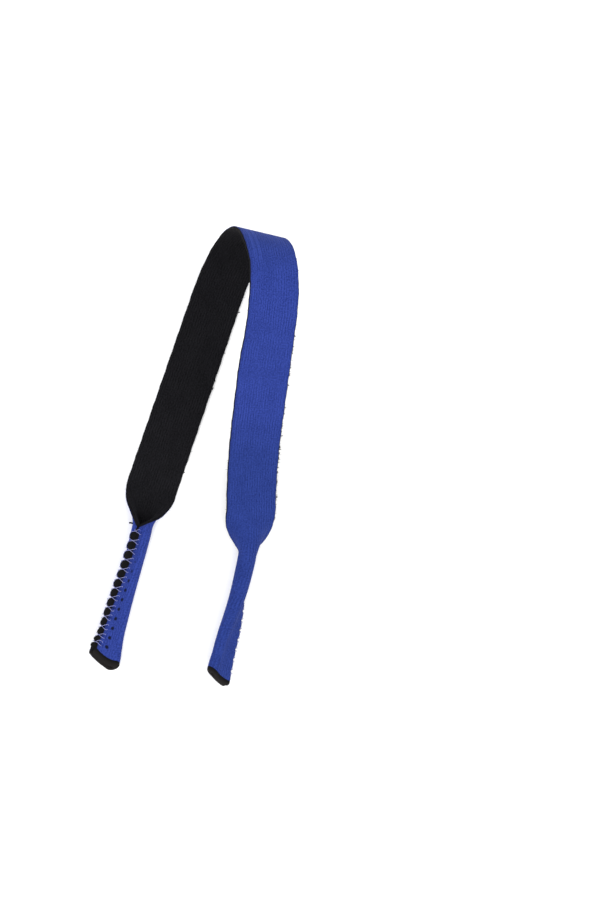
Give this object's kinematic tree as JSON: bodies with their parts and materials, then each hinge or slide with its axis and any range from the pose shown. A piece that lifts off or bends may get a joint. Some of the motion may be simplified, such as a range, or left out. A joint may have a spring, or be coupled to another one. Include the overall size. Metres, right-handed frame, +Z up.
{
  "type": "eyeglasses strap",
  "caption": "Flat neoprene sports strap for eyeglasses, blue outside and black inside, its two ends folded and overstitched into sleeves for the temple tips.",
  "frame": {"origin": "centre of the footprint of the lying strap, on the table", "axes": "+Z up from the table; both sleeves lie along Y with their mouths facing -Y, and the crown of the loop is at +Y; +X towards the right leg"},
  "size_m": [0.0638, 0.1828, 0.0458],
  "materials": {
    "blue_jersey": "matte knitted nylon jersey, royal blue",
    "black_foam": "matte closed-cell neoprene foam, cut edge",
    "black_jersey": "matte knitted nylon jersey, black",
    "nylon_thread": "fine translucent nylon thread, slightly glossy"
  },
  "bodies": {
    "left_band": {"left_band_outer_jersey": "blue_jersey", "left_band_foam_core": "black_foam", "left_band_lining_jersey": "black_jersey"},
    "left_neck": {"left_neck_outer_jersey": "blue_jersey", "left_neck_foam_core": "black_foam", "left_neck_lining_jersey": "black_jersey"},
    "left_sleeve": {"left_sleeve_outer_jersey": "blue_jersey", "left_sleeve_foam_core": "black_foam", "left_sleeve_lining_jersey": "black_jersey", "left_needle_thread": "nylon_thread", "left_looper_thread": "nylon_thread"},
    "right_band": {"right_band_outer_jersey": "blue_jersey", "right_band_foam_core": "black_foam", "right_band_lining_jersey": "black_jersey"},
    "right_neck": {"right_neck_outer_jersey": "blue_jersey", "right_neck_foam_core": "black_foam", "right_neck_lining_jersey": "black_jersey"},
    "right_sleeve": {"right_sleeve_outer_jersey": "blue_jersey", "right_sleeve_foam_core": "black_foam", "right_sleeve_lining_jersey": "black_jersey", "right_needle_thread": "nylon_thread", "right_looper_thread": "nylon_thread"}
  },
  "joints": [
    {"name": "crown_flex", "type": "hinge", "parent": "left_band", "child": "right_band", "pos_m": [-0.00822, 0.08996, 0.02931], "axis": [-0.9974, -0.0715, 0], "range_deg": [0, 90], "stiffness_Nm_per_rad": 0.02},
    {"name": "left_neck_flex", "type": "hinge", "parent": "left_band", "child": "left_neck", "pos_m": [-0.02124, -0.0214, 0.0018], "axis": [-0.9959, 0.0906, 0], "range_deg": [0, 60], "stiffness_Nm_per_rad": 0.006},
    {"name": "left_sleeve_twist", "type": "hinge", "parent": "left_neck", "child": "left_sleeve", "pos_m": [-0.02188, -0.03538, 0.0038], "axis": [0, 1, 0], "range_deg": [-20, 60], "stiffness_Nm_per_rad": 0.003},
    {"name": "right_neck_flex", "type": "hinge", "parent": "right_band", "child": "right_neck", "pos_m": [0.02109, -0.02281, 0.01], "axis": [-0.9728, -0.2317, 0], "range_deg": [0, 60], "stiffness_Nm_per_rad": 0.006},
    {"name": "right_sleeve_twist", "type": "hinge", "parent": "right_neck", "child": "right_sleeve", "pos_m": [0.02272, -0.03667, 0.0062], "axis": [0, -1, 0], "range_deg": [-20, 60], "stiffness_Nm_per_rad": 0.003}
  ]
}
